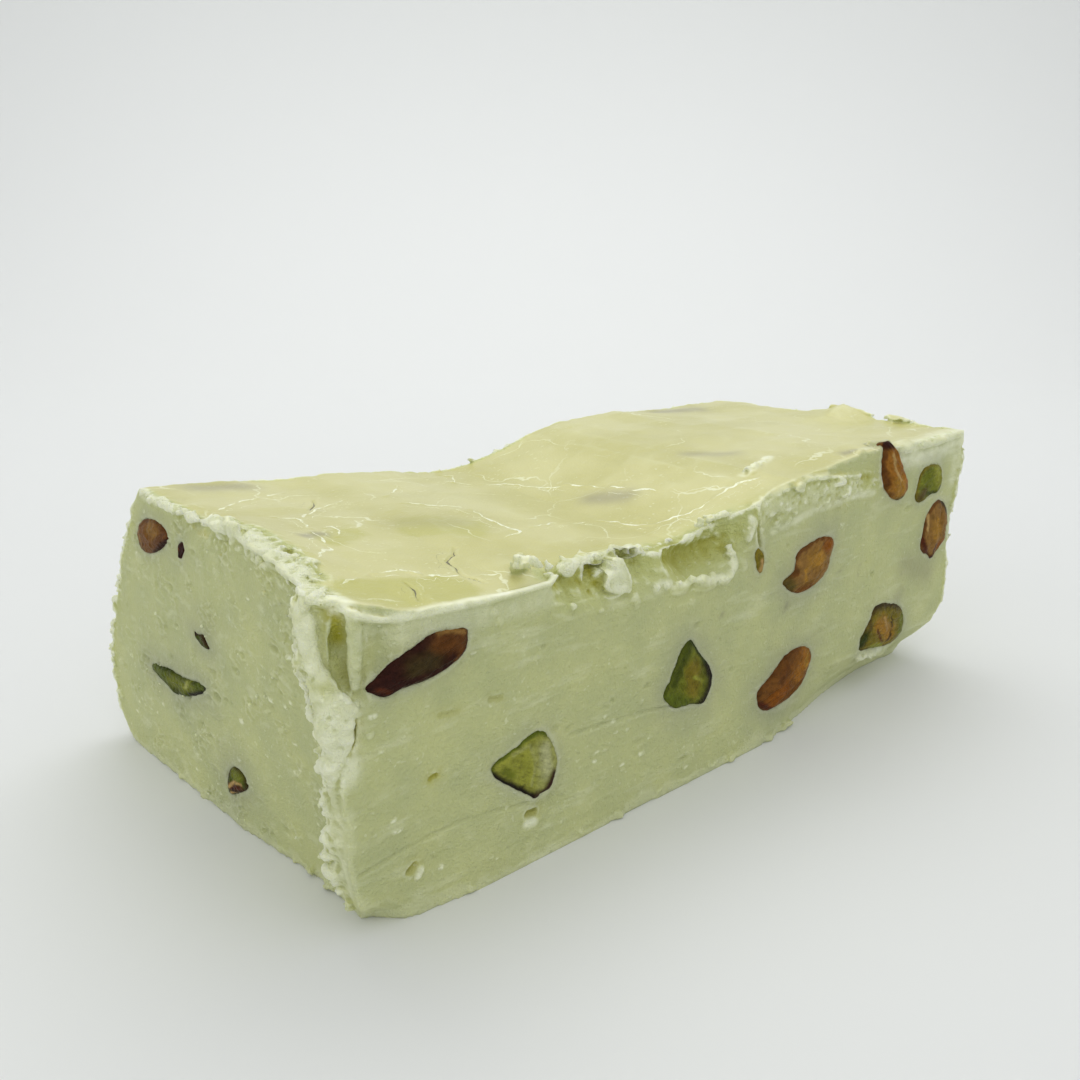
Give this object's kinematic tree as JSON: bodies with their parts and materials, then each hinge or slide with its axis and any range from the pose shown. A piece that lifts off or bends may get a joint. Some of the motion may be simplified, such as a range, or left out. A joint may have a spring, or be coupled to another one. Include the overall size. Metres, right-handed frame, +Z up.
{
  "type": "fudge slab",
  "caption": "Slab of pale green nut fudge cut from a loaf, with a wavy top skin, torn cut edges and pistachio kernels set in its faces.",
  "frame": {"origin": "centre of the slab's bounding box at its foot", "axes": "+X along the slab's length, away from the short cut end, +Y into its depth, away from the long cut face, +Z up"},
  "size_m": [0.1354, 0.0768, 0.0467],
  "materials": {
    "fudge": "waxy, smoother on the top skin",
    "kernel_green": "cut nut, satin",
    "kernel_brown": "nut skin, satin"
  },
  "bodies": {
    "root": {"fudge_slab": "fudge", "kernel_front_1": "kernel_brown", "kernel_front_2": "kernel_green", "kernel_front_3": "kernel_green", "kernel_front_4": "kernel_brown", "kernel_front_5": "kernel_brown", "kernel_front_6": "kernel_brown", "kernel_front_7": "kernel_green", "kernel_front_8": "kernel_brown", "kernel_front_9": "kernel_green", "kernel_front_10": "kernel_brown", "kernel_left_1": "kernel_brown", "kernel_left_2": "kernel_brown", "kernel_left_3": "kernel_green", "kernel_left_4": "kernel_green", "kernel_left_5": "kernel_brown", "kernel_back_1": "kernel_brown", "kernel_back_2": "kernel_green", "kernel_back_3": "kernel_brown", "kernel_back_4": "kernel_green", "kernel_back_5": "kernel_brown", "kernel_end_1": "kernel_brown", "kernel_end_2": "kernel_green", "kernel_end_3": "kernel_brown"}
  },
  "joints": []
}
